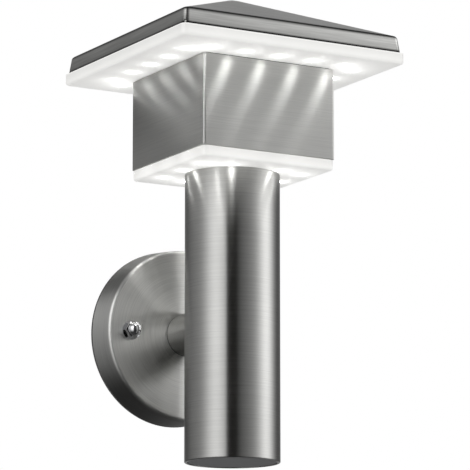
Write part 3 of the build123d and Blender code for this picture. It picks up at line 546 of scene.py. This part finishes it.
def roof_painted_shade(x, y, z):
    """Painted shade: a dark line along the crease, a painted shadow along the skirt's lower edge where it
    sits on the dish, shade deepening down the skirt, and darker skirt corners.
    """
    up = z - roof_low[2]
    edge = up.ramp(*skirt_foot_shadow, 0.02, 1.0)
    skirt = up.ramp(*skirt_shade_rise, 0.72, 1.05)
    corner = (abs(x) + abs(y - axis_y)).ramp(*skirt_corner_shade, 1.0, 0.5)
    return edge * skirt * corner * (1.0 - 0.95 * up.band(crease_up, crease_shade_width))


dress(brushed_steel("stainless_roof", roof_lay, (0.42, 0.7), 0.3, 0.33, roof_painted_shade), "roof")
dress(zinc, "roof_bracket", "roof_weld_nut", "tie_rod", "tie_rod_nuts", "tie_rod_washers")


# Camera: to the lamp's left and below it, with a long lens, as the photograph was taken, so the undersides
# of both dishes show.
camera_data = bpy.data.cameras.new("camera")
camera_data.lens = 255.51
camera_data.sensor_width = 36.0
camera_data.clip_end = 50.0
camera = bpy.data.objects.new("camera", camera_data)
camera.location = (-0.85335, -1.56192, -0.28143)
camera.rotation_euler = (radians(100.7909), 0.0, radians(-29.7898))
scene.collection.objects.link(camera)
scene.camera = camera


# Studio: a pale floor well below the wall light, a white surround and three soft lamps. Light and dark
# cloths hang in a ring round it, with one above and one below, as a photographer hangs them round steel,
# and only reflections see them.
floor_z = -2.6
floor_half = 20.0
square = ((-1, -1), (1, -1), (1, 1), (-1, 1))
face_up = [(0, 1, 2, 3)]
face_down = [(3, 2, 1, 0)]
floor_data = bpy.data.meshes.new("floor")
floor_data.from_pydata([(x * floor_half, y * floor_half, floor_z) for x, y in square], [], face_up)
floor = bpy.data.objects.new("floor", floor_data)
scene.collection.objects.link(floor)
floor_paint, floor_shade = new_material("floor_paint")
floor_x, floor_y = floor_shade.place()[:2]
mottle = floor_shade.grain(floor_x, floor_y, 0.0, 3.0)
floor_shade.finish({
    "Base Color": floor_shade.between(mottle, (0.84, 0.84, 0.84), (0.87, 0.87, 0.87)),
    "Roughness": 0.9,
})
floor_data.materials.append(floor_paint)

cloth_r = 1.2
cloth_top = 2.0
ground_z = -1.2
cloth_steps = 120
cloth_mesh = bmesh.new()
cloth_rows = []
for height in (floor_z, cloth_top):
    row = []
    for step in range(cloth_steps):
        turn = 2.0 * pi * step / cloth_steps
        row.append(cloth_mesh.verts.new((cloth_r * sin(turn), -cloth_r * cos(turn), height)))
    cloth_rows.append(row)
low_row, high_row = cloth_rows
for step in range(cloth_steps):
    beside = (step + 1) % cloth_steps
    cloth_mesh.faces.new((low_row[step], high_row[step], high_row[beside], low_row[beside]))
cloth_data = bpy.data.meshes.new("studio_cloths")
cloth_mesh.to_mesh(cloth_data)
cloth_mesh.free()
cloths = bpy.data.objects.new("studio_cloths", cloth_data)
scene.collection.objects.link(cloths)

# The hung cloths, each with the bearing of its middle, the angle from there at which it has faded to about
# a third, and its brightness. Bearings are in degrees round the wall light: 0 is towards the camera, and 90
# is to the camera's right. One more cloth hangs straight behind, and a black flag towards the camera.
camera_turn = radians(-29.7)
hung_cloths = (
    (-90.0, 50.0, 0.3),
    (-36.0, 30.0, 1.4),
    (48.0, 28.0, 0.32),
    (89.0, 24.0, 1.7),
    (145.0, 25.0, 0.1),
)
behind = 180.0
back_width = 20.0
back_level = 0.42
flag_left = (-14.0, -10.0)
flag_right = (10.0, 22.0)
cloth_rise = (-0.9, 0.5)
cloth_fall = (0.8, 1.3)
cloth_paint, cloth_shade = new_material("cloth_levels")
cloth_x, cloth_y, cloth_z = cloth_shade.place()
facing_x = cloth_x * cos(camera_turn) + cloth_y * sin(camera_turn)
facing_y = cloth_x * sin(camera_turn) - cloth_y * cos(camera_turn)
bearing = cloth_shade.maths("ARCTAN2", facing_x, facing_y) * degrees(1.0)
cloth_level = back_level * abs(bearing).band(behind, back_width)
for middle, width, brightness in hung_cloths:
    cloth_level = cloth_level + brightness * bearing.band(middle, width)
past_flag = bearing.ramp(*flag_left, 1.0, 0.0) + bearing.ramp(*flag_right, 0.0, 1.0)
cloth_height = cloth_z.ramp(*cloth_rise, 0.13, 1.32) * cloth_z.ramp(*cloth_fall, 1.0, 0.3)
cloth_light = cloth_level * past_flag * cloth_height
cloth_colour = cloth_shade.node("CombineColor", {}, {0: cloth_light, 1: cloth_light, 2: cloth_light})
cloth_glow = cloth_shade.node("Emission", {}, {"Color": cloth_colour, "Strength": 1.0})
cloth_shade.node("OutputMaterial", {}, {"Surface": cloth_glow})
cloth_data.materials.append(cloth_paint)

studio_sheets = [cloths]
for name, height, grey in (("studio_ceiling", cloth_top, 0.3), ("studio_ground", ground_z, 0.04)):
    sheet_data = bpy.data.meshes.new(name)
    sheet_data.from_pydata([(x * cloth_r, y * cloth_r, height) for x, y in square], [], face_down)
    sheet = bpy.data.objects.new(name, sheet_data)
    scene.collection.objects.link(sheet)
    sheet_paint, sheet_shade = new_material(name)
    sheet_glow = sheet_shade.node("Emission", {}, {"Color": (grey, grey, grey, 1.0), "Strength": 1.0})
    sheet_shade.node("OutputMaterial", {}, {"Surface": sheet_glow})
    sheet_data.materials.append(sheet_paint)
    studio_sheets.append(sheet)
for sheet in studio_sheets:
    sheet.visible_camera = False
    sheet.visible_diffuse = False
    sheet.visible_shadow = False
    sheet.visible_transmission = False

# The surround is full white to the camera and to reflections, and a little less as light on the pieces.
ambient = 0.86
world = bpy.data.worlds.new("surround")
world.use_nodes = True
world.node_tree.nodes.clear()
scene.world = world
surround = Shade(world.node_tree)
seen = surround.node("LightPath", {}, {}, "Is Camera Ray")
for ray in ("Is Glossy Ray", "Is Transmission Ray"):
    seen = surround.maths("MAXIMUM", seen, surround.node("LightPath", {}, {}, ray))
surround_level = ambient + (1.0 - ambient) * seen
background = surround.node("Background", {}, {"Color": (1.0, 1.0, 1.0, 1.0), "Strength": surround_level})
surround.node("OutputWorld", {}, {"Surface": background})

aim = Vector((0.0, axis_y, 0.05))
for name, spot, size, power in (
    ("key_lamp", (1.6, -2.2, 1.4), 1.4, 2.0),
    ("fill_lamp", (-2.4, -1.2, 0.9), 1.6, 6.0),
    ("top_lamp", (0.0, -0.3, 2.6), 0.5, 30.0),
):
    lamp_data = bpy.data.lights.new(name, "AREA")
    lamp_data.shape = "DISK"
    lamp_data.size = size
    lamp_data.energy = power
    lamp = bpy.data.objects.new(name, lamp_data)
    lamp.location = spot
    lamp.rotation_euler = (aim - lamp.location).to_track_quat("-Z", "Y").to_euler()
    lamp.visible_glossy = False
    scene.collection.objects.link(lamp)

scene.view_settings.view_transform = "Standard"
